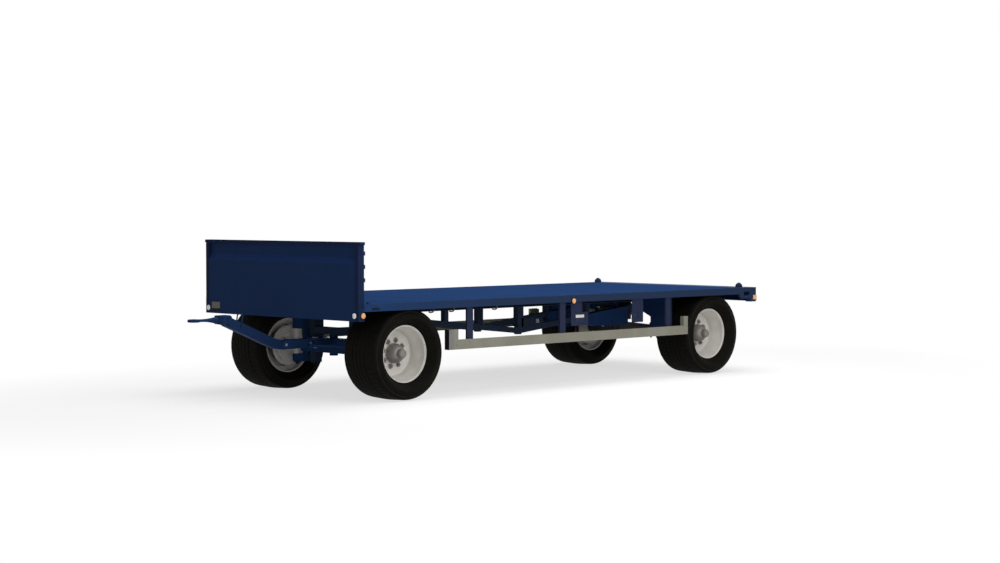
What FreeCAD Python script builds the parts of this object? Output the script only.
import FreeCAD, Part
import math
import os
from FreeCAD import Vector

# Flat-bed hay wagon on two axles, in millimetres.
# +X points to the drawbar, +Y to the wagon's left, +Z up, with the origin on the
# ground under the middle of the overall length.

# Driving dimensions: the load bed
deck_length = 6296
deck_width = 2526
deck_top = 1012
eye_reach = 1136
floor_thickness = 5
rail_depth = 78
rail_wall = 6
rail_lip = 15
beam_depth = 160
beam_flange_width = 80
beam_flange = 9
beam_web = 6
crossmember_depth = 40
crossmember_width = 50
crossmember_wall = 4
crossmember_pitch = 500
rear_beam_depth = 165
rear_beam_width = 80
rear_beam_wall = 6
corner_length = 316
corner_depth = 132
corner_slope = 24
corner_slot_back = 178
corner_slot_length = 110
corner_slot_height = 48
end_post_length = 106
end_post_width = 73
end_post_bottom = 840
rear_plate_length = 250
stop_back = 196
stop_inset = 107
stop_radius = 43
stop_height = 58

# Driving dimensions: the headboard
headboard_top = 1628
headboard_bottom = 839
headboard_depth = 78
headboard_post = 50
headboard_rim = 31
headboard_rim_overhang = 12
headboard_sheet = 4
recess_depth = 30
recess_top_drop = 46
recess_bottom_drop = 151
recess_foot_drop = 216
rib_height = 40
rib_depth = 15
rib_drop = 113
rib_pitch = 133
rib_count = 3
stiffener_width = 50
stiffener_count = 4

# Driving dimensions: axles and wheels
front_axle_back = 733
rear_axle_ahead = 739
wheel_clearance = 23
tyre_radius = 477
tyre_width = 540
rim_radius = 295
rim_seat = 286
rim_wall = 8
rim_width = 360
rim_well = 46
disc_inset = 185
disc_setback = 2
disc_thickness = 12
hub_radius = 100
hub_cap_radius = 42
drum_radius = 160
drum_width = 150
spindle_radius = 35
axle_width = 90
backing_plate = 8
backing_gap = 7

# Driving dimensions: the steered front axle and the drawbar
axle_beam_width = 110
axle_beam_height = 100
axle_beam_drop = 45
axle_centre_height = 155
kingpin_inset = 335
kingpin_radius = 20
knuckle_radius = 50
knuckle_drop = 81
knuckle_height = 271
fork_upper = 119
fork_lower = 78
fork_wall = 30
fork_reach = 100
fork_back = 60
axle_deep_margin = 24
steering_room = 170
axle_post_radius = 45
axle_post_drop = 28
draw_pivot_ahead = 250
draw_pin_radius = 25
lug_radius = 56
lug_swing_gap = 8
yoke_width = 90
yoke_boss_radius = 52
yoke_cheek = 10
yoke_height = 96
yoke_centre_z = 553
steering_pin_ahead = 120
steering_pin_aside = 72
steering_pin_radius = 10
arm_thickness = 16
lug_thickness = 46
tie_rod_radius = 11
tie_rod_eye_radius = 19
tie_rod_eye_half = 14
hinge_back = 50
hinge_pin_radius = 16
drawbar_width = 78
drawbar_height = 100
bend_radius = 420
bend_steps = 6
kink_ahead = 45
drawbar_front = 680
drawbar_front_z = 820
hose_arch_ahead = 515
hose_arch_top = 897
hose_arch_bar = 8
eye_radius = 65
eye_bore = 25
eye_thickness = 34
eye_z = 840
shank_start = 60
shank_root_half = 30
shank_middle_half = 36
shank_tip_half = 45
neck_length = 170
neck_root_radius = 44
neck_tip_radius = 22
neck_drop = 6
eye_flange_back = 12
eye_flange_front = 30
eye_flange_half_width = 55
eye_flange_half_height = 51

# Driving dimensions: the under-frame
truss_front_gap = 187
truss_rear_ahead = 157
truss_drop = 235
truss_tube = 60
chord_depth = 64
truss_post_pitch = 1130
guard_front_gap = 487
guard_rear_gap = 537
guard_bottom = 500
guard_height = 102
guard_depth = 22
guard_proud = 7
guard_wall = 3
guard_front_width = 134
guard_rear_width = 75
guard_end_depth = 52
guard_end_rise = 107
guard_post_inset = 322
guard_middle_behind = 1397
guard_post_width = 86
guard_post_depth = 24
saddle_cheek = 8
saddle_bottom = 317
saddle_width = 92
saddle_block_ahead = 18
saddle_front = 29
saddle_heel = 25
saddle_waist = 40
saddle_flare = 60
saddle_seat = 90
cross_tube = 74
cross_tube_z = 628
arm_pivot_ahead = 857
arm_pivot_z = 612
arm_width = 56
arm_pin_radius = 16
hanger_front = 426
hanger_rear = 274
hanger_bottom = 580
hanger_cheek = 16
hanger_edge = 3
hanger_toe = 100
hanger_toe_rise = 30
hanger_heel = 60
hanger_heel_rise = 20
hanger_pin_end = 12
air_spring_behind = 83
air_spring_radius = 130
air_spring_seat = 24
arm_depth = 30
clamp_plate = 14
clamp_half_length = 75
clamp_half_width = 60
stud_along = 60
stud_across = 48
stud_radius = 9
stud_below = 30
stud_above = 12
seat_back = 55
seat_front = 20
seat_half_width = 32
arm_seat_front = 80
arm_seat_back = 95
arm_eye_radius = 36
arm_root_half = 30
chamber_outward = 9.5
chamber_radius = 72
chamber_length = 110
chamber_stem = 20
chamber_stem_radius = 25
chamber_drop = 20
tank_ahead = 327
tank_length = 580
tank_radius = 103
tank_z = 664
tank_strap_inset = 105
valve_behind = 850
valve_length = 180
bracket_plate = 6
bracket_bottom = 672
bracket_neck = 176
bracket_length = 273
bracket_foot = 148
bracket_slot_start = 74
bracket_slot_length = 136
bracket_slot_bottom = 87
bracket_slot_height = 34
holed_length = 190
hole_start = 35
hole_length = 66
hole_bottom = 54
hole_height = 61
slotted_behind = 127
holed_behind = 1126

# Driving dimensions: the lamps
lamp_radius = 28
lamp_inset = 51
lamp_z = 896
side_lamp_back = 56
side_lamp_behind = 150
side_lamp_z = 948
rear_lamp = 68
rear_lamp_bottom = 853
lamp_proud = 12

# Clearances
running_fit = 0.05
seat_gap = 0.3
pivot_gap = 1

# Places worked out from the sizes above
front_x = (deck_length - eye_reach) / 2
rear_x = front_x - deck_length
headboard_back_x = front_x - headboard_depth
half_width = deck_width / 2
floor_bottom = deck_top - floor_thickness
rail_inner = half_width - rail_wall
rail_bottom = deck_top - rail_depth
beam_bottom = floor_bottom - beam_depth
beam_rear_x = rear_x + rear_beam_width
front_axle_x = front_x - front_axle_back
rear_axle_x = rear_x + rear_axle_ahead
axle_z = tyre_radius
draw_pivot_x = front_axle_x + draw_pivot_ahead
hinge_x = front_x - hinge_back
guard_outer = half_width + guard_proud
guard_inner = guard_outer - guard_depth
wheel_y = guard_inner - wheel_clearance - tyre_width / 2
kingpin_offset = wheel_y - kingpin_inset
fork_inner = kingpin_offset - fork_reach - fork_wall
beam_centre_y = (fork_inner + steering_room) / 2
axle_deep_half = beam_centre_y + saddle_width / 2 + axle_deep_margin
disc_back_y = wheel_y + rim_width / 2 - disc_inset - disc_setback - disc_thickness
drum_in_y = disc_back_y - drum_width
backing_y = drum_in_y - backing_gap - backing_plate
chamber_y = (backing_y + beam_centre_y) / 2 + chamber_outward
stub_end_y = wheel_y + rim_width / 2 - 62
truss_front_x = front_axle_x - truss_front_gap
truss_rear_x = rear_axle_x + truss_rear_ahead
truss_low_x = (truss_front_x + truss_rear_x) / 2
truss_reach = (truss_front_x - truss_rear_x) / 2
truss_slope = truss_drop / truss_reach
guard_front_x = front_axle_x - guard_front_gap
guard_rear_x = rear_axle_x + guard_rear_gap
front_post_x = guard_front_x - guard_post_inset
middle_post_x = front_post_x - guard_middle_behind
rear_post_x = guard_rear_x + guard_post_inset
arm_pivot_x = rear_axle_x + arm_pivot_ahead
arm_top = yoke_centre_z - 34
rod_z = arm_top + tie_rod_eye_half + pivot_gap


def box(x0, x1, y0, y1, z0, z1):
    """A block between two corners."""
    return Part.makeBox(x1 - x0, y1 - y0, z1 - z0, Vector(x0, y0, z0))


def rod(start, end, radius):
    """A round bar from one point to another."""
    line = Vector(*end) - Vector(*start)
    return Part.makeCylinder(radius, line.Length, Vector(*start), line)


def side_plate(points, y0, y1):
    """A plate whose outline is given in X and Z, between two places across the wagon."""
    corners = [Vector(x, y0, z) for x, z in points]
    face = Part.Face(Part.makePolygon(corners + corners[:1]))
    return face.extrude(Vector(0, y1 - y0, 0))


def end_section(points, x0, x1):
    """A bar along the wagon whose section is given in Y and Z."""
    corners = [Vector(x0, y, z) for y, z in points]
    face = Part.Face(Part.makePolygon(corners + corners[:1]))
    return face.extrude(Vector(x1 - x0, 0, 0))


def level_plate(points, z0, z1):
    """A level plate whose outline is given in X and Y."""
    corners = [Vector(x, y, z0) for x, y in points]
    face = Part.Face(Part.makePolygon(corners + corners[:1]))
    return face.extrude(Vector(0, 0, z1 - z0))


def turned(points, x, y, z):
    """A turned piece about the wheel axis, its outline given as radius and place along Y."""
    corners = [Vector(r, along, 0) for r, along in points]
    face = Part.Face(Part.makePolygon(corners + corners[:1]))
    piece = face.revolve(Vector(0, 0, 0), Vector(0, 1, 0), 360)
    piece.translate(Vector(x, y, z))
    return piece


def upright_turned(profile, x, y):
    """A turned piece about an upright axis, its outline given as radius and height."""
    corners = [Vector(r, 0, z) for r, z in profile]
    face = Part.Face(Part.makePolygon(corners + corners[:1]))
    piece = face.revolve(Vector(0, 0, 0), Vector(0, 0, 1), 360)
    piece.translate(Vector(x, y, 0))
    return piece


def link(start, end, radius, z0, z1):
    """A flat link with round ends between two upright axes."""
    (ax, ay), (bx, by) = start, end
    length = math.hypot(bx - ax, by - ay)
    sx = -(by - ay) / length * radius
    sy = (bx - ax) / length * radius
    strip = level_plate([(ax + sx, ay + sy), (bx + sx, by + sy), (bx - sx, by - sy), (ax - sx, ay - sy)], z0, z1)
    ends = [rod((px, py, z0), (px, py, z1), radius) for px, py in (start, end)]
    return joined([strip] + ends)


def mirrored(shape):
    """The same piece on the wagon's other side."""
    return shape.mirror(Vector(0, 0, 0), Vector(0, 1, 0))


def joined(shapes):
    """Welded pieces as one solid."""
    return shapes[0].multiFuse(shapes[1:]).removeSplitter()


def both_sides(shape):
    """A piece and its mirror image."""
    return [shape, mirrored(shape)]


def save(name, shapes):
    """Writes one node, made of one or more solids."""
    solids = [solid for shape in shapes for solid in shape.Solids]
    shape = solids[0] if len(solids) == 1 else Part.makeCompound(solids)
    shape.exportStep("parts/" + name + ".step")
    box_of = shape.BoundBox
    print(f"{name:24} {len(solids):3} solids, valid {shape.isValid()}, volume {shape.Volume / 1e6:8.2f} l,"
          f" x {box_of.XMin:7.0f} {box_of.XMax:7.0f}  y {box_of.YMin:6.0f} {box_of.YMax:6.0f}"
          f"  z {box_of.ZMin:5.0f} {box_of.ZMax:5.0f}")


def crossmember_places():
    """Cross-members at every guard post and evenly between them, from front beam to rear beam."""
    anchors = [headboard_back_x, front_post_x, middle_post_x, rear_post_x, beam_rear_x]
    places = []
    for ahead, behind in zip(anchors, anchors[1:]):
        steps = max(1, math.ceil((ahead - behind) / crossmember_pitch))
        places += [ahead - (ahead - behind) * step / steps for step in range(1, steps + 1)]
    return places[:-1]


def deck_floor():
    """The chequer floor plate, which ends where the rear beam's top plate starts."""
    return box(rear_x + rear_plate_length, headboard_back_x, -rail_inner, rail_inner, floor_bottom, deck_top)


def channel(x, y0, y1):
    """One cross-member, a channel open at its bottom."""
    half = crossmember_width / 2
    outer = box(x - half, x + half, y0, y1, floor_bottom - crossmember_depth, floor_bottom)
    inside = half - crossmember_wall
    hollow = box(x - inside, x + inside, y0, y1, floor_bottom - crossmember_depth, floor_bottom - crossmember_wall)
    return outer.cut(hollow)


def crossmembers():
    """Three lengths of channel at each place: between the beams and out to each rail."""
    inner = beam_centre_y - beam_flange_width / 2
    outer = beam_centre_y + beam_flange_width / 2
    pieces = []
    for x in crossmember_places():
        pieces.append(channel(x, -inner, inner))
        pieces += both_sides(channel(x, outer, rail_inner))
    return pieces


def main_beam():
    """One lengthwise I-beam under the floor."""
    y = beam_centre_y
    half = beam_flange_width / 2
    web = beam_web / 2
    top, bottom = floor_bottom, beam_bottom
    section = [(y - half, bottom), (y + half, bottom), (y + half, bottom + beam_flange),
               (y + web, bottom + beam_flange), (y + web, top - beam_flange), (y + half, top - beam_flange),
               (y + half, top), (y - half, top), (y - half, top - beam_flange),
               (y - web, top - beam_flange), (y - web, bottom + beam_flange), (y - half, bottom + beam_flange)]
    return end_section(section, beam_rear_x, headboard_back_x)


def side_rail():
    """The folded edge of the bed: an upright web with a small lip turned in."""
    lip_top = rail_bottom + rail_wall
    section = [(rail_inner - rail_lip, rail_bottom), (half_width, rail_bottom), (half_width, deck_top),
               (rail_inner, deck_top), (rail_inner, lip_top), (rail_inner - rail_lip, lip_top)]
    return end_section(section, rear_x, headboard_back_x)


def front_beam():
    """The hollow beam across the front that carries the headboard."""
    inner = half_width - headboard_post
    x0, x1 = headboard_back_x, front_x - headboard_sheet
    outer = box(x0, x1, -inner, inner, headboard_bottom, floor_bottom)
    wall = rear_beam_wall
    hollow = box(x0 + wall, x1 - wall, -inner, inner, headboard_bottom + wall, floor_bottom - wall)
    return outer.cut(hollow)


def rear_beam():
    """The channel across the rear, with a top plate that carries the stops and a post at each end."""
    bottom = deck_top - rear_beam_depth
    wall = rear_beam_wall
    reach = half_width - end_post_width
    outer = box(rear_x, beam_rear_x, -reach, reach, bottom, floor_bottom)
    hollow = box(rear_x + wall, beam_rear_x, -reach, reach, bottom + wall, floor_bottom - wall)
    plate = box(rear_x, rear_x + rear_plate_length, -rail_inner, rail_inner, floor_bottom, deck_top)
    post_x = rear_x + end_post_length
    post_y = rail_inner - rail_lip - seat_gap
    post = box(rear_x, post_x, reach, post_y, end_post_bottom, floor_bottom)
    foot = box(rear_x, post_x, reach, half_width, end_post_bottom, deck_top - corner_depth)
    return joined([outer.cut(hollow), plate] + both_sides(joined([post, foot])))


def corner_plate():
    """The deeper edge at a rear corner, under the side rail."""
    bottom = deck_top - corner_depth
    x1 = rear_x + corner_length
    outline = [(rear_x, bottom), (x1 - corner_slope, bottom), (x1, rail_bottom), (rear_x, rail_bottom)]
    return side_plate(outline, rail_inner - rail_lip, half_width)


def corner_slot():
    """The oval hole through a rear corner, as the solid that cuts it."""
    half = corner_slot_height / 2
    reach = corner_slot_length / 2 - half
    x, z = rear_x + corner_slot_back, rail_bottom + corner_slope / 4
    y0, y1 = rail_inner - rail_lip - 1, half_width + 1
    ends = [rod((x + along, y0, z), (x + along, y1, z), half) for along in (-reach, reach)]
    return joined([box(x - reach, x + reach, y0, y1, z - half, z + half)] + ends)


def rear_stop():
    """A domed steel stop that stands on the floor near each rear corner."""
    low, high, wide = deck_top, deck_top + stop_height, stop_radius
    profile = [(0, low), (wide, low), (wide, low + 20), (wide - 4, low + 31), (wide - 13, high - 15),
               (wide - 25, high - 6), (wide - 35, high - 1), (0, high)]
    return upright_turned(profile, rear_x + stop_back, half_width - stop_inset)


def headboard_line():
    """The front face of the pressed sheet, from its foot to the rim, as X and Z."""
    rim_bottom = headboard_top - headboard_rim
    recess_x = front_x - recess_depth
    return [(front_x, headboard_bottom), (front_x, headboard_top - recess_foot_drop),
            (recess_x, headboard_top - recess_bottom_drop), (recess_x, headboard_top - recess_top_drop),
            (front_x, rim_bottom)]


def headboard_panel():
    """The pressed sheet with its long recess under the rim."""
    face = headboard_line()
    back = [(x - headboard_sheet, z) for x, z in reversed(face)]
    inner = half_width - headboard_post
    return side_plate(face + back, -inner, inner)


def headboard_frame():
    """Edge posts and the top rim."""
    rim_bottom = headboard_top - headboard_rim
    inner = half_width - headboard_post
    posts = both_sides(box(headboard_back_x, front_x, inner, half_width, headboard_bottom, rim_bottom))
    reach = half_width + headboard_rim_overhang
    rim = box(headboard_back_x, front_x, -reach, reach, rim_bottom, headboard_top)
    return joined(posts + [rim])


def headboard_ribs():
    """Three flat ribs across the back of the headboard, from edge to edge."""
    ribs = []
    for place in range(rib_count):
        z = headboard_top - rib_drop - place * rib_pitch
        ribs.append(box(headboard_back_x - rib_depth, headboard_back_x, -half_width, half_width,
                        z - rib_height / 2, z + rib_height / 2))
    return ribs


def headboard_stiffeners():
    """Upright channels behind the sheet, cut to its pressed line."""
    rim_bottom = headboard_top - headboard_rim
    line = [(x - headboard_sheet, z) for x, z in headboard_line()[1:]]
    outline = [(headboard_back_x, floor_bottom), (front_x - headboard_sheet, floor_bottom)] + line
    outline.append((headboard_back_x, rim_bottom))
    inner = half_width - headboard_post
    pieces = []
    for place in range(stiffener_count):
        y = -inner + 2 * inner * (place + 1) / (stiffener_count + 1)
        pieces.append(side_plate(outline, y - stiffener_width / 2, y + stiffener_width / 2))
    return pieces


def truss():
    """The bent lower chord of one under-frame truss, with its posts and foot plate."""
    half = truss_tube / 2
    y = beam_centre_y
    low_top = beam_bottom - truss_drop
    outline = [(truss_low_x - truss_reach, beam_bottom), (truss_low_x, low_top),
               (truss_low_x + truss_reach, beam_bottom),
               (truss_low_x + truss_reach, beam_bottom - chord_depth),
               (truss_low_x, low_top - chord_depth),
               (truss_low_x - truss_reach, beam_bottom - chord_depth)]
    chord = side_plate(outline, y - half, y + half)
    pieces = [chord]
    for place in (-1, 0, 1):
        x = truss_low_x + place * truss_post_pitch
        foot = low_top + abs(place) * truss_post_pitch * truss_slope
        pieces.append(box(x - half, x + half, y - half, y + half, foot - half, beam_bottom))
    foot = low_top - chord_depth
    pieces.append(box(truss_low_x - half, truss_low_x + half, y - half, y + half, foot - 10, low_top))
    return joined(pieces)


def guard_rail():
    """The side guard: a rolled channel with a raised upright at each end."""
    x0, x1 = guard_rear_x, guard_front_x
    top = guard_bottom + guard_height
    wall = guard_wall
    section = [(guard_inner, guard_bottom), (guard_outer, guard_bottom), (guard_outer, top), (guard_inner, top),
               (guard_inner, top - wall), (guard_outer - wall, top - wall),
               (guard_outer - wall, guard_bottom + wall), (guard_inner, guard_bottom + wall)]
    pieces = [end_section(section, x0, x1)]
    for end, width in ((x0, guard_rear_width), (x1 - guard_front_width, guard_front_width)):
        end_inner = guard_outer - guard_end_depth
        upright = box(end, end + width, end_inner, guard_outer, guard_bottom, top + guard_end_rise)
        hollow = box(end + wall, end + width - wall, end_inner, guard_outer - wall,
                     guard_bottom + wall, top + guard_end_rise - wall)
        pieces.append(upright.cut(hollow))
    return joined(pieces)


def guard_posts():
    """Flat posts that hang the side guard from the cross-members."""
    top = floor_bottom - crossmember_depth
    half = guard_post_width / 2
    posts = []
    for x in (front_post_x, middle_post_x, rear_post_x):
        y0 = guard_inner - guard_post_depth
        lower = box(x - half, x + half, y0, guard_inner, guard_bottom, rail_bottom)
        upper = box(x - half, x + half, y0, rail_inner - rail_lip, rail_bottom, top)
        posts.append(joined([lower, upper]))
    return posts


def side_brackets():
    """Two plates that hang from the left side rail, one slotted and one with a square hole."""
    y0 = rail_inner - rail_lip / 2 - bracket_plate / 2
    y1 = y0 + bracket_plate
    bottom = bracket_bottom
    x = middle_post_x - slotted_behind
    neck, tip = x - bracket_neck, x - bracket_length
    outline = [(x, rail_bottom), (neck, rail_bottom), (neck, bottom + bracket_foot), (tip, bottom + bracket_foot),
               (tip, bottom), (x, bottom)]
    slotted = side_plate(outline, y0, y1)
    slot_x, slot_z = x - bracket_slot_start, bottom + bracket_slot_bottom
    slotted = slotted.cut(box(slot_x - bracket_slot_length, slot_x, y0 - 1, y1 + 1,
                              slot_z, slot_z + bracket_slot_height))
    x = middle_post_x - holed_behind
    holed = box(x - holed_length, x, y0, y1, bottom, rail_bottom)
    hole_x, hole_z = x - hole_start, bottom + hole_bottom
    holed = holed.cut(box(hole_x - hole_length, hole_x, y0 - 1, y1 + 1, hole_z, hole_z + hole_height))
    return [slotted, holed]


def tyre(side, x):
    """One wide tyre with rounded shoulders and bulged walls."""
    half = tyre_width / 2
    bore = rim_seat + seat_gap
    bead = rim_width / 2 - rim_wall - 6 - seat_gap
    wall = [(rim_radius + 35, -half + 9), (rim_radius + 60, -half), (rim_radius + 90, -half + 5),
            (tyre_radius - 65, -half + 14), (tyre_radius - 45, -half + 27), (tyre_radius - 30, -half + 43),
            (tyre_radius - 18, -half + 65), (tyre_radius - 8, -half + 96), (tyre_radius, -half + 150)]
    outline = [(bore, -bead), (rim_radius + 8, -bead - 4)] + wall
    outline += [(r, -along) for r, along in reversed(outline)]
    return turned(outline, x, side * wheel_y, axle_z)


def rim(side, x):
    """Drop-centre rim with its flat disc set deep inside."""
    half = rim_width / 2
    well = rim_seat - rim_well
    wall = rim_wall
    disc_y = half - disc_inset
    back_y = disc_y - disc_setback - disc_thickness
    bore = hub_radius + seat_gap
    outline = [(rim_radius, -half), (rim_radius, -half + wall), (rim_seat, -half + wall + 6), (rim_seat, -half + 60),
               (well, -half + 90), (well, half - 90), (rim_seat, half - 60), (rim_seat, half - wall - 6),
               (rim_radius, half - wall), (rim_radius, half), (rim_seat - wall, half - 4), (rim_seat - wall, half - 56),
               (well - wall, half - 86), (well - wall, disc_y), (well - 40, disc_y - disc_setback),
               (bore, disc_y - disc_setback), (bore, back_y), (well - 44, back_y), (well - wall, back_y - 8),
               (well - wall, -half + 92), (rim_seat - wall, -half + 62), (rim_seat - wall, -half + 4)]
    outline = [(r, side * along) for r, along in outline]
    return turned(outline, x, side * wheel_y, axle_z)


def hub(side, x):
    """Hub and brake drum, bored for the spindle."""
    half = rim_width / 2
    disc_back = disc_back_y - wheel_y
    bore = spindle_radius + running_fit
    drum_in = drum_in_y - wheel_y
    cap = hub_cap_radius
    outline = [(bore, drum_in), (drum_radius, drum_in), (drum_radius, disc_back - 30), (drum_radius - 12, disc_back),
               (hub_radius, disc_back), (hub_radius, half - 130), (hub_radius - 2, half - 105),
               (hub_radius - 16, half - 75), (hub_radius - 34, half - 56), (cap + 2, half - 50), (cap, half - 46),
               (cap, half - 6), (cap - 6, half), (0, half), (0, half - 60), (bore, half - 60)]
    outline = [(r, side * along) for r, along in outline]
    return turned(outline, x, side * wheel_y, axle_z)


def spindle(side, x, inner_y):
    """The stub that carries a hub, with the brake's backing plate."""
    stub = rod((x, side * inner_y, axle_z), (x, side * stub_end_y, axle_z), spindle_radius)
    outer_y = backing_y + backing_plate
    plate = rod((x, side * backing_y, axle_z), (x, side * outer_y, axle_z), drum_radius - 4)
    return [stub, plate]


def rear_axle():
    """The rear axle: square tube with a spindle and backing plate at each end."""
    half = axle_width / 2
    reach = backing_y
    beam = box(rear_axle_x - half, rear_axle_x + half, -reach, reach, axle_z - half, axle_z + half)
    pieces = [beam]
    for side in (-1, 1):
        pieces += spindle(side, rear_axle_x, reach - 10)
    return joined(pieces)


def brake_chambers(x, ahead):
    """Round brake chambers slung beside an axle, with their brackets."""
    pieces = []
    half = axle_width / 2
    for side in (-1, 1):
        y = side * chamber_y
        z = axle_z - chamber_drop
        x0 = x + ahead * half
        x1 = x0 + ahead * chamber_stem
        x2 = x1 + ahead * chamber_length
        pieces.append(joined([rod((x0, y, z), (x1, y, z), chamber_stem_radius),
                              rod((x1, y, z), (x2, y, z), chamber_radius)]))
    return pieces


def fork(side):
    """The fork of one kingpin: an upright wall with an ear above and below the knuckle."""
    low = axle_z - knuckle_drop - pivot_gap
    high = low + knuckle_height + 2 * pivot_gap
    bottom, top = low - fork_lower, high + fork_upper
    wall_y = kingpin_offset - fork_reach
    inner, outer = sorted((side * (wall_y - fork_wall), side * wall_y))
    x0 = front_axle_x - axle_beam_width / 2
    pieces = [box(x0, x0 + fork_back, inner, outer, bottom, top)]
    middle_x = x0 + fork_back / 2
    for z0, z1 in ((bottom, low), (high, top)):
        start, end = (middle_x, side * (wall_y - fork_wall / 2)), (front_axle_x, side * kingpin_offset)
        ear = link(start, end, knuckle_radius, z0, z1)
        beyond = sorted((side * (wall_y - fork_wall), side * (wall_y - fork_wall - 2 * knuckle_radius)))
        pieces.append(ear.cut(box(x0 - knuckle_radius, x0 + 3 * knuckle_radius, *beyond, z0, z1)))
    return pieces


def front_axle():
    """The front axle beam, deep in its middle, with a fork for each kingpin and a lug for the draw pin."""
    half_x = axle_beam_width / 2
    x0, x1 = front_axle_x - half_x, front_axle_x + half_x
    bottom = axle_z - axle_beam_drop
    middle_top = bottom + axle_centre_height
    end_y = fork_inner
    pieces = [box(x0, x1, -axle_deep_half, axle_deep_half, bottom, middle_top),
              box(x0, x1, -end_y, end_y, bottom, bottom + axle_beam_height),
              rod((front_axle_x, 0, bottom - axle_post_drop), (front_axle_x, 0, cross_tube_z), axle_post_radius)]
    for side in (-1, 1):
        pieces += fork(side)
    lug_z = yoke_centre_z - lug_thickness / 2
    pieces.append(link((front_axle_x, 0), (draw_pivot_x, 0), lug_radius, lug_z, lug_z + lug_thickness))
    beam = joined(pieces)
    for side in (-1, 1):
        beam = beam.cut(rod((front_axle_x, side * kingpin_offset, 0), (front_axle_x, side * kingpin_offset, deck_top),
                            kingpin_radius + running_fit))
    return beam.cut(rod((draw_pivot_x, 0, 0), (draw_pivot_x, 0, deck_top), draw_pin_radius + running_fit))


def kingpin(side):
    """The pin of one steering knuckle, with its head."""
    low = axle_z - knuckle_drop - pivot_gap - fork_lower
    high = low + fork_lower + knuckle_height + 2 * pivot_gap + fork_upper
    y = side * kingpin_offset
    pin = rod((front_axle_x, y, low - 6), (front_axle_x, y, high), kingpin_radius)
    head = rod((front_axle_x, y, high), (front_axle_x, y, high + 10), kingpin_radius + 10)
    return joined([pin, head])


def knuckle(side):
    """One steering knuckle: boss, spindle and the arm that takes the tie rod."""
    y = side * kingpin_offset
    low = axle_z - knuckle_drop
    boss = rod((front_axle_x, y, low), (front_axle_x, y, low + knuckle_height), knuckle_radius)
    pieces = [boss] + spindle(side, front_axle_x, kingpin_offset)
    pin_x = front_axle_x + steering_pin_ahead
    pin_y = side * (kingpin_offset + steering_pin_aside)
    pieces.append(link((front_axle_x, y), (pin_x, pin_y), 22, arm_top - arm_thickness, arm_top))
    body = joined(pieces)
    body = body.cut(rod((front_axle_x, y, low - 1), (front_axle_x, y, low + knuckle_height + 1),
                        kingpin_radius + running_fit))
    pin = rod((pin_x, pin_y, arm_top - arm_thickness - 6), (pin_x, pin_y, rod_z + tie_rod_eye_half + 6),
              steering_pin_radius)
    return joined([body, pin])


def tie_rod(side):
    """A steering rod from the yoke to one knuckle, with an eye at each end."""
    ax, ay = draw_pivot_x + steering_pin_ahead, side * steering_pin_aside
    bx, by = front_axle_x + steering_pin_ahead, side * (kingpin_offset + steering_pin_aside)
    bar = rod((ax, ay, rod_z), (bx, by, rod_z), tie_rod_radius)
    pieces = [bar]
    for px, py in ((ax, ay), (bx, by)):
        low, high = rod_z - tie_rod_eye_half, rod_z + tie_rod_eye_half
        pieces.append(rod((px, py, low), (px, py, high), tie_rod_eye_radius))
    body = joined(pieces)
    for (px, py), gap in (((ax, ay), running_fit), ((bx, by), 0.5)):
        body = body.cut(rod((px, py, rod_z - 20), (px, py, rod_z + 20), steering_pin_radius + gap))
    return body


def front_saddle(side):
    """A pair of cheek plates that hang the front axle from a main beam, with blocks above and below the axle."""
    bottom = axle_z - axle_beam_drop
    top = bottom + axle_centre_height
    x0 = front_axle_x - axle_beam_width / 2
    front = front_axle_x + saddle_front
    waist = x0 - saddle_waist
    outline = [(front, beam_bottom), (front, top), (x0, top), (x0, bottom), (x0 - saddle_heel, bottom),
               (waist, top + saddle_flare), (waist, beam_bottom - saddle_flare), (x0 - saddle_seat, beam_bottom)]
    y0, y1 = beam_centre_y - saddle_width / 2, beam_centre_y + saddle_width / 2
    pieces = [side_plate(outline, inner, inner + saddle_cheek) for inner in (y0, y1 - saddle_cheek)]
    pieces.append(box(x0 - 15, front_axle_x + saddle_block_ahead, y0, y1, saddle_bottom, bottom))
    pieces.append(box(x0 + 15, front - saddle_cheek, y0 + saddle_cheek, y1 - saddle_cheek, top, beam_bottom))
    body = joined(pieces)
    return body if side > 0 else mirrored(body)


def front_cross_tube():
    """The square tube between the two saddles, above the axle."""
    reach = beam_centre_y - saddle_width / 2
    half = cross_tube / 2
    top = cross_tube_z + cross_tube
    outer = box(front_axle_x - half, front_axle_x + half, -reach, reach, cross_tube_z, top)
    inside = half - rail_wall
    hollow = box(front_axle_x - inside, front_axle_x + inside, -reach, reach,
                 cross_tube_z + rail_wall, top - rail_wall)
    return outer.cut(hollow)


def draw_pin():
    """The upright pin on which the yoke swings."""
    z0, z1 = yoke_centre_z - yoke_height / 2, yoke_centre_z + yoke_height / 2
    pin = rod((draw_pivot_x, 0, z0 - 10), (draw_pivot_x, 0, z1), draw_pin_radius)
    head = rod((draw_pivot_x, 0, z1), (draw_pivot_x, 0, z1 + 10), draw_pin_radius + 10)
    return joined([pin, head])


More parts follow.
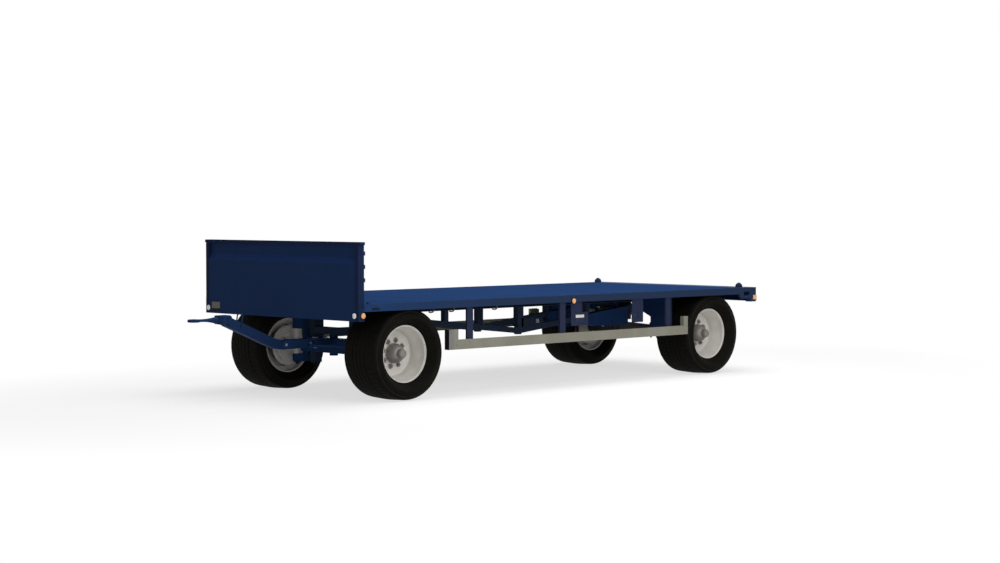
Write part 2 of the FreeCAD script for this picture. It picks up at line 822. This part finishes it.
def yoke():
    """The swinging arm between the axle's lug and the drawbar's hinge, with lugs for the tie rods."""
    half = yoke_width / 2
    z0, z1 = yoke_centre_z - yoke_height / 2, yoke_centre_z + yoke_height / 2
    front = hinge_x - 75
    body = [rod((draw_pivot_x, 0, z0), (draw_pivot_x, 0, z1), yoke_boss_radius),
            box(draw_pivot_x, front, -half, half, z0, z1)]
    for side in (-1, 1):
        y0, y1 = sorted((side * half, side * (half + yoke_cheek)))
        body.append(box(front - 70, hinge_x, y0, y1, z0, z1))
        body.append(rod((hinge_x, y0, yoke_centre_z), (hinge_x, y1, yoke_centre_z), yoke_height / 2))
        body.append(box(front - 70, hinge_x, *sorted((side * (drawbar_width / 2 + 2), side * half)),
                        yoke_centre_z - 40, yoke_centre_z + 40))
        pin_x = draw_pivot_x + steering_pin_ahead
        body.append(link((pin_x, side * 30), (pin_x, side * steering_pin_aside), 22,
                         arm_top - arm_thickness, arm_top))
    shape = joined(body)
    mouth = lug_thickness / 2 + pivot_gap
    shape = shape.cut(box(draw_pivot_x - 2 * lug_radius, draw_pivot_x + lug_radius + lug_swing_gap,
                          -2 * lug_radius, 2 * lug_radius, yoke_centre_z - mouth, yoke_centre_z + mouth))
    shape = shape.cut(rod((draw_pivot_x, 0, z0 - 1), (draw_pivot_x, 0, z1 + 1), draw_pin_radius + running_fit))
    shape = shape.cut(rod((hinge_x, -100, yoke_centre_z), (hinge_x, 100, yoke_centre_z), hinge_pin_radius + running_fit))
    pins = []
    for side in (-1, 1):
        y = side * steering_pin_aside
        pins.append(rod((pin_x, y, arm_top - arm_thickness - 6), (pin_x, y, rod_z + tie_rod_eye_half + 6),
                        steering_pin_radius))
    return joined([shape] + pins)


def hinge_pin():
    """The level pin of the drawbar's hinge."""
    reach = yoke_width / 2 + yoke_cheek
    pin = rod((hinge_x, -reach - 10, yoke_centre_z), (hinge_x, reach, yoke_centre_z), hinge_pin_radius)
    head = rod((hinge_x, reach, yoke_centre_z), (hinge_x, reach + 6, yoke_centre_z), hinge_pin_radius + 6)
    return joined([pin, head])


def bend_line(kink_x, angle, offset):
    """Points along the drawbar's smooth bend, on a line offset from its middle."""
    reach = bend_radius * math.tan(angle / 2)
    points = []
    for step in range(bend_steps + 1):
        turn = angle * step / bend_steps
        x = kink_x - reach + (bend_radius - offset) * math.sin(turn)
        z = yoke_centre_z + bend_radius - (bend_radius - offset) * math.cos(turn)
        points.append((x, z))
    return points


def drawbar():
    """The cranked square tube from the hinge up to the towing eye's flange."""
    half = drawbar_height / 2
    kink_x = front_x + kink_ahead
    end_x = front_x + drawbar_front
    rise = drawbar_front_z - yoke_centre_z
    angle = math.atan2(rise, end_x - kink_x)
    nx, nz = -math.sin(angle) * half, math.cos(angle) * half
    outline = [(hinge_x, yoke_centre_z - half)] + bend_line(kink_x, angle, -half)
    outline += [(end_x - nx, drawbar_front_z - nz), (end_x + nx, drawbar_front_z + nz)]
    outline += list(reversed(bend_line(kink_x, angle, half))) + [(hinge_x, yoke_centre_z + half)]
    wide = drawbar_width / 2
    bar = side_plate(outline, -wide, wide)
    rear = rod((hinge_x, -wide, yoke_centre_z), (hinge_x, wide, yoke_centre_z), half)
    body = joined([bar, rear])
    return body.cut(rod((hinge_x, -wide - 1, yoke_centre_z), (hinge_x, wide + 1, yoke_centre_z),
                        hinge_pin_radius + running_fit))


def hose_arch():
    """The round-bar arch over the drawbar that holds the brake hoses up."""
    x = front_x + hose_arch_ahead
    y = drawbar_width / 2 + hose_arch_bar
    top = hose_arch_top - hose_arch_bar
    foot = top - 120
    pieces = [rod((x, -y, top), (x, y, top), hose_arch_bar)]
    for side in (-1, 1):
        pieces.append(rod((x, side * y, foot), (x, side * y, top), hose_arch_bar))
        pieces.append(Part.makeSphere(hose_arch_bar, Vector(x, side * y, top)))
    return joined(pieces)


def tow_eye():
    """The forged eye with its shank and flange."""
    eye_x = front_x + eye_reach - eye_radius
    flange_x = front_x + drawbar_front
    z0, z1 = eye_z - eye_thickness / 2, eye_z + eye_thickness / 2
    ring = rod((eye_x, 0, z0), (eye_x, 0, z1), eye_radius)
    side = [(eye_x, shank_tip_half), (flange_x + neck_length, shank_middle_half),
            (flange_x + shank_start, shank_root_half)]
    shank = level_plate(side + [(x, -y) for x, y in reversed(side)], z0, z1)
    neck = Part.makeCone(neck_root_radius, neck_tip_radius, neck_length,
                         Vector(flange_x + 20, 0, eye_z - neck_drop), Vector(1, 0, 0.03))
    angle = math.atan2(drawbar_front_z - yoke_centre_z, drawbar_front - kink_ahead)
    wide, high = eye_flange_half_width, eye_flange_half_height
    flange = box(-eye_flange_back, eye_flange_front, -wide, wide, -high, high)
    flange.rotate(Vector(0, 0, 0), Vector(0, 1, 0), -math.degrees(angle))
    flange.translate(Vector(flange_x + eye_flange_back * math.cos(angle), 0,
                            drawbar_front_z + eye_flange_back * math.sin(angle)))
    body = joined([ring, shank, neck, flange])
    return body.cut(rod((eye_x, 0, z0 - 1), (eye_x, 0, z1 + 1), eye_bore))


def rear_hanger():
    """Cheek plates on both faces of a truss chord that hang a trailing arm's pivot."""
    front, rear = arm_pivot_x + hanger_front, arm_pivot_x - hanger_rear
    tops = [(x, beam_bottom - truss_slope * (x - truss_rear_x) - hanger_edge) for x in (rear, front)]
    outline = tops + [(front, hanger_bottom + hanger_toe_rise), (front - hanger_toe, hanger_bottom),
                      (rear + hanger_heel, hanger_bottom), (rear, hanger_bottom + hanger_heel_rise)]
    half = truss_tube / 2
    pieces = []
    for y in (beam_centre_y - half - hanger_cheek, beam_centre_y + half):
        pieces.append(side_plate(outline, y, y + hanger_cheek))
    reach = half + hanger_cheek + hanger_pin_end
    pin = rod((arm_pivot_x, beam_centre_y - reach, arm_pivot_z), (arm_pivot_x, beam_centre_y + reach, arm_pivot_z),
              arm_pin_radius)
    return joined(pieces + [pin])


def axle_clamps():
    """Plates and studs that clamp one trailing arm on the rear axle, with the air spring's seat on top."""
    low, high = axle_z - axle_width / 2, axle_z + axle_width / 2 + arm_depth
    x, y = rear_axle_x, beam_centre_y
    spring_x = x - air_spring_behind
    seat = high + clamp_plate
    x0, x1, y0, y1 = x - clamp_half_length, x + clamp_half_length, y - clamp_half_width, y + clamp_half_width
    pieces = [box(x0, x1, y0, y1, low - clamp_plate, low),
              box(x0, x1, y0, y1, high, seat),
              box(spring_x - seat_back, x + seat_front, y - seat_half_width, y + seat_half_width,
                  high, seat + air_spring_seat)]
    for across in (-stud_across, stud_across):
        for along in (-stud_along, stud_along):
            place = (x + along, y + across)
            pieces.append(rod((*place, low - stud_below), (*place, seat + stud_above), stud_radius))
    return joined(pieces)


def trailing_arm():
    """The arm from the hanger's pivot to the axle, level where it is clamped."""
    top = axle_z + axle_width / 2
    front, back = rear_axle_x + arm_seat_front, rear_axle_x - arm_seat_back
    outline = [(arm_pivot_x, arm_pivot_z + arm_root_half), (front, top + arm_depth), (back, top + arm_depth),
               (back, top), (front, top), (arm_pivot_x, arm_pivot_z - arm_root_half)]
    y0, y1 = beam_centre_y - arm_width / 2, beam_centre_y + arm_width / 2
    arm = side_plate(outline, y0, y1)
    eye = rod((arm_pivot_x, y0, arm_pivot_z), (arm_pivot_x, y1, arm_pivot_z), arm_eye_radius)
    bore = rod((arm_pivot_x, 0, arm_pivot_z), (arm_pivot_x, half_width, arm_pivot_z), arm_pin_radius + seat_gap)
    return joined([arm, eye]).cut(bore)


def air_spring():
    """One rubber bellows with its end plates, between the axle's clamp and the main beam."""
    z0 = axle_z + axle_width / 2 + arm_depth + clamp_plate + air_spring_seat
    z1 = beam_bottom
    wide = air_spring_radius
    profile = [(0, z0), (wide - 14, z0), (wide - 12, z0 + 8), (wide - 12, z0 + 40), (wide - 4, z0 + 58),
               (wide, z0 + 85), (wide, z0 + 160), (wide - 5, z0 + 190), (wide - 20, z1 - 26), (wide - 30, z1 - 14),
               (wide - 30, z1), (0, z1)]
    return upright_turned(profile, rear_axle_x - air_spring_behind, beam_centre_y)


def air_tank():
    """The round air reservoir between the trusses, with domed ends."""
    x0, x1 = rear_axle_x + tank_ahead, rear_axle_x + tank_ahead + tank_length
    radius, z = tank_radius, tank_z
    profile = [(0, 0), (50, 4), (85, 16), (radius, 40), (radius, x1 - x0 - 40), (85, x1 - x0 - 16),
               (50, x1 - x0 - 4), (0, x1 - x0)]
    corners = [Vector(along, r, 0) for r, along in profile]
    face = Part.Face(Part.makePolygon(corners + corners[:1]))
    piece = face.revolve(Vector(0, 0, 0), Vector(1, 0, 0), 360)
    piece.translate(Vector(x0, 0, z))
    return piece


def tank_straps():
    """Steel bands round the tank, hung from a cross piece between the main beams."""
    straps = []
    z, radius = tank_z, tank_radius
    for inset in (tank_strap_inset, tank_length - tank_strap_inset):
        x = rear_axle_x + tank_ahead + inset
        band = rod((x - 15, 0, z), (x + 15, 0, z), radius + 4)
        band = band.cut(rod((x - 16, 0, z), (x + 16, 0, z), radius + seat_gap))
        hanger = box(x - 15, x + 15, -60, 60, z + 100, beam_bottom)
        hanger = hanger.cut(rod((x - 16, 0, z), (x + 16, 0, z), radius + 2))
        bar = box(x - 20, x + 20, -beam_centre_y - 30, beam_centre_y + 30, beam_bottom - 8, beam_bottom)
        straps.append(joined([band, hanger, bar]))
    return straps


def valve_block():
    """The brake valve that sits on the right truss."""
    x1 = truss_low_x - valve_behind
    x0 = x1 - valve_length
    top0 = beam_bottom - truss_drop + truss_slope * (truss_low_x - x0)
    top1 = beam_bottom - truss_drop + truss_slope * (truss_low_x - x1)
    outline = [(x0, top0), (x1, top1), (x1, top0 + 60), (x0, top0 + 60)]
    return side_plate(outline, -beam_centre_y - 40, -beam_centre_y + 25)


def lamps():
    """Front, side and rear lamps as round and square lenses on their edges."""
    lamp_y = half_width - lamp_inset
    front = [rod((front_x, y, lamp_z), (front_x + lamp_proud, y, lamp_z), lamp_radius) for y in (-lamp_y, lamp_y)]
    outer = half_width + lamp_proud
    side = []
    for x, z in ((front_x - side_lamp_back, lamp_z), (middle_post_x - side_lamp_behind, side_lamp_z)):
        side += both_sides(rod((x, half_width, z), (x, outer, z), lamp_radius - 2))
    rear = both_sides(box(rear_x, rear_x + rear_lamp, half_width, outer,
                          rear_lamp_bottom, rear_lamp_bottom + rear_lamp))
    return front, side + rear


def main():
    os.makedirs("parts", exist_ok=True)
    save("deck_floor", [deck_floor()])
    save("crossmembers", crossmembers())
    save("main_beams", both_sides(main_beam()))
    save("side_rails", both_sides(joined([side_rail(), corner_plate()]).cut(corner_slot())))
    save("front_beam", [front_beam()])
    save("rear_beam", [rear_beam()])
    save("rear_stops", both_sides(rear_stop()))
    save("headboard_panel", [headboard_panel()])
    save("headboard_frame", [headboard_frame()])
    save("headboard_bracing", headboard_ribs() + headboard_stiffeners())
    save("trusses", both_sides(truss()))
    save("guard_rails", both_sides(guard_rail()))
    posts = guard_posts()
    save("guard_posts", posts + [mirrored(post) for post in posts])
    save("side_brackets", side_brackets())
    save("rear_axle", [rear_axle()])
    save("rear_brakes", brake_chambers(rear_axle_x, -1))
    save("rear_hangers", both_sides(rear_hanger()))
    save("trailing_arms", both_sides(trailing_arm()))
    save("axle_clamps", both_sides(axle_clamps()))
    save("air_springs", both_sides(air_spring()))
    save("air_tank", [air_tank()])
    save("tank_straps", tank_straps())
    save("valve_block", [valve_block()])
    save("front_axle", [front_axle()])
    save("steering_pins", [kingpin(-1), kingpin(1), draw_pin()])
    save("front_saddles", [joined([front_saddle(1), front_saddle(-1), front_cross_tube()])])
    save("yoke", [yoke()])
    save("hinge_pin", [hinge_pin()])
    save("drawbar", [drawbar()])
    save("hose_arch", [hose_arch()])
    save("tow_eye", [tow_eye()])
    front_lamps, edge_lamps = lamps()
    save("front_lamps", front_lamps)
    save("edge_lamps", edge_lamps)
    for name, side in (("left", 1), ("right", -1)):
        save("knuckle_" + name, [knuckle(side)])
        save("tie_rod_" + name, [tie_rod(1) if side > 0 else mirrored(tie_rod(1))])
        for end, x in (("front", front_axle_x), ("rear", rear_axle_x)):
            save(f"tyre_{end}_{name}", [tyre(side, x)])
            save(f"rim_{end}_{name}", [rim(side, x)])
            save(f"hub_{end}_{name}", [hub(side, x)])


main()
